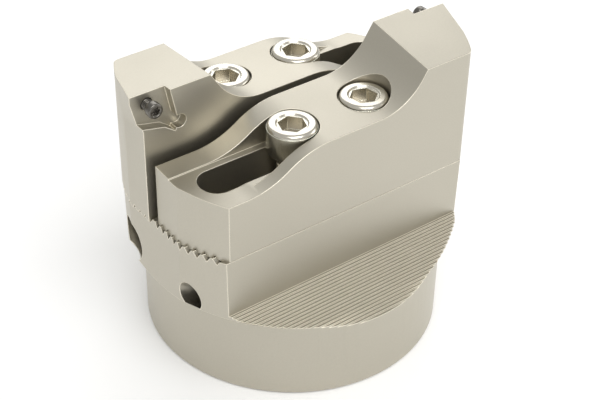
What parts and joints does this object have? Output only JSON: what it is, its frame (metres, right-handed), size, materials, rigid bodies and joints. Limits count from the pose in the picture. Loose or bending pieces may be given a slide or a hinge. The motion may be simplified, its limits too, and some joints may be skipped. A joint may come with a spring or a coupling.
{
  "type": "boring head",
  "caption": "Twin-cutter boring head: a round flanged body with serrated slides carrying two profiled insert holders, each held by socket head screws and set by an adjusting screw.",
  "frame": {"origin": "centre of the underside, on the spindle axis", "axes": "+Z along the spindle axis towards the cutting end, +X along the slides, holder_b on the -Y side cutting at +X"},
  "size_m": [0.113, 0.1, 0.0998],
  "materials": {
    "body_steel": "satin nickel plating, milled",
    "holder_steel": "satin nickel plating, milled",
    "screw_steel": "bright nickel plating",
    "insert_screw_steel": "blackened",
    "nut_steel": "ground",
    "bush_steel": "turned",
    "spindle_steel": "blackened"
  },
  "bodies": {
    "head": {"boring_head_body": "body_steel", "adjusting_screw_bush_a": "bush_steel", "adjusting_screw_bush_b": "bush_steel"},
    "holder_a": {"insert_holder_a": "holder_steel", "sliding_clamp_nut_a": "nut_steel"},
    "slot_screw_a": {"clamp_screw_a_slot": "screw_steel"},
    "round_screw_a": {"clamp_screw_a_round": "screw_steel"},
    "insert_screw_a": {"insert_screw_a": "insert_screw_steel"},
    "adjusting_screw_a": {"adjusting_screw_a": "spindle_steel"},
    "holder_b": {"insert_holder_b": "holder_steel", "sliding_clamp_nut_b": "nut_steel"},
    "slot_screw_b": {"clamp_screw_b_slot": "screw_steel"},
    "round_screw_b": {"clamp_screw_b_round": "screw_steel"},
    "insert_screw_b": {"insert_screw_b": "insert_screw_steel"},
    "adjusting_screw_b": {"adjusting_screw_b": "spindle_steel"}
  },
  "joints": [
    {"name": "holder_a_slide", "type": "slide", "parent": "head", "child": "holder_a", "axis": [-1, 0, 0], "range_m": [0, 0.02]},
    {"name": "adjusting_screw_a_turn", "type": "hinge", "parent": "head", "child": "adjusting_screw_a", "pos_m": [-0.0455, 0.016, 0.0385], "axis": [-1, 0, 0], "range_deg": [-5760, 0]},
    {"name": "slot_screw_a_turn", "type": "hinge", "parent": "head", "child": "slot_screw_a", "pos_m": [0.0133, 0.0172, 0.0814], "axis": [0, 0, 1], "range_deg": [0, 720]},
    {"name": "round_screw_a_turn", "type": "hinge", "parent": "holder_a", "child": "round_screw_a", "pos_m": [-0.0144, 0.0172, 0.0814], "axis": [0, 0, 1], "range_deg": [0, 720]},
    {"name": "insert_screw_a_turn", "type": "hinge", "parent": "holder_a", "child": "insert_screw_a", "pos_m": [-0.0507, 0.0006, 0.0954], "axis": [0, -1, 0], "range_deg": [0, 3600]},
    {"name": "holder_b_slide", "type": "slide", "parent": "head", "child": "holder_b", "axis": [1, 0, 0], "range_m": [0, 0.02]},
    {"name": "adjusting_screw_b_turn", "type": "hinge", "parent": "head", "child": "adjusting_screw_b", "pos_m": [0.0455, -0.016, 0.0385], "axis": [1, 0, 0], "range_deg": [-5760, 0]},
    {"name": "slot_screw_b_turn", "type": "hinge", "parent": "head", "child": "slot_screw_b", "pos_m": [-0.0133, -0.0172, 0.0814], "axis": [0, 0, 1], "range_deg": [0, 720]},
    {"name": "round_screw_b_turn", "type": "hinge", "parent": "holder_b", "child": "round_screw_b", "pos_m": [0.0144, -0.0172, 0.0814], "axis": [0, 0, 1], "range_deg": [0, 720]},
    {"name": "insert_screw_b_turn", "type": "hinge", "parent": "holder_b", "child": "insert_screw_b", "pos_m": [0.0507, -0.0006, 0.0954], "axis": [0, 1, 0], "range_deg": [0, 3600]}
  ],
  "couplings": [
    {"joint": "adjusting_screw_a_turn", "follows": "holder_a_slide", "rad_per_m": -5026.5},
    {"joint": "adjusting_screw_b_turn", "follows": "holder_b_slide", "rad_per_m": -5026.5}
  ]
}
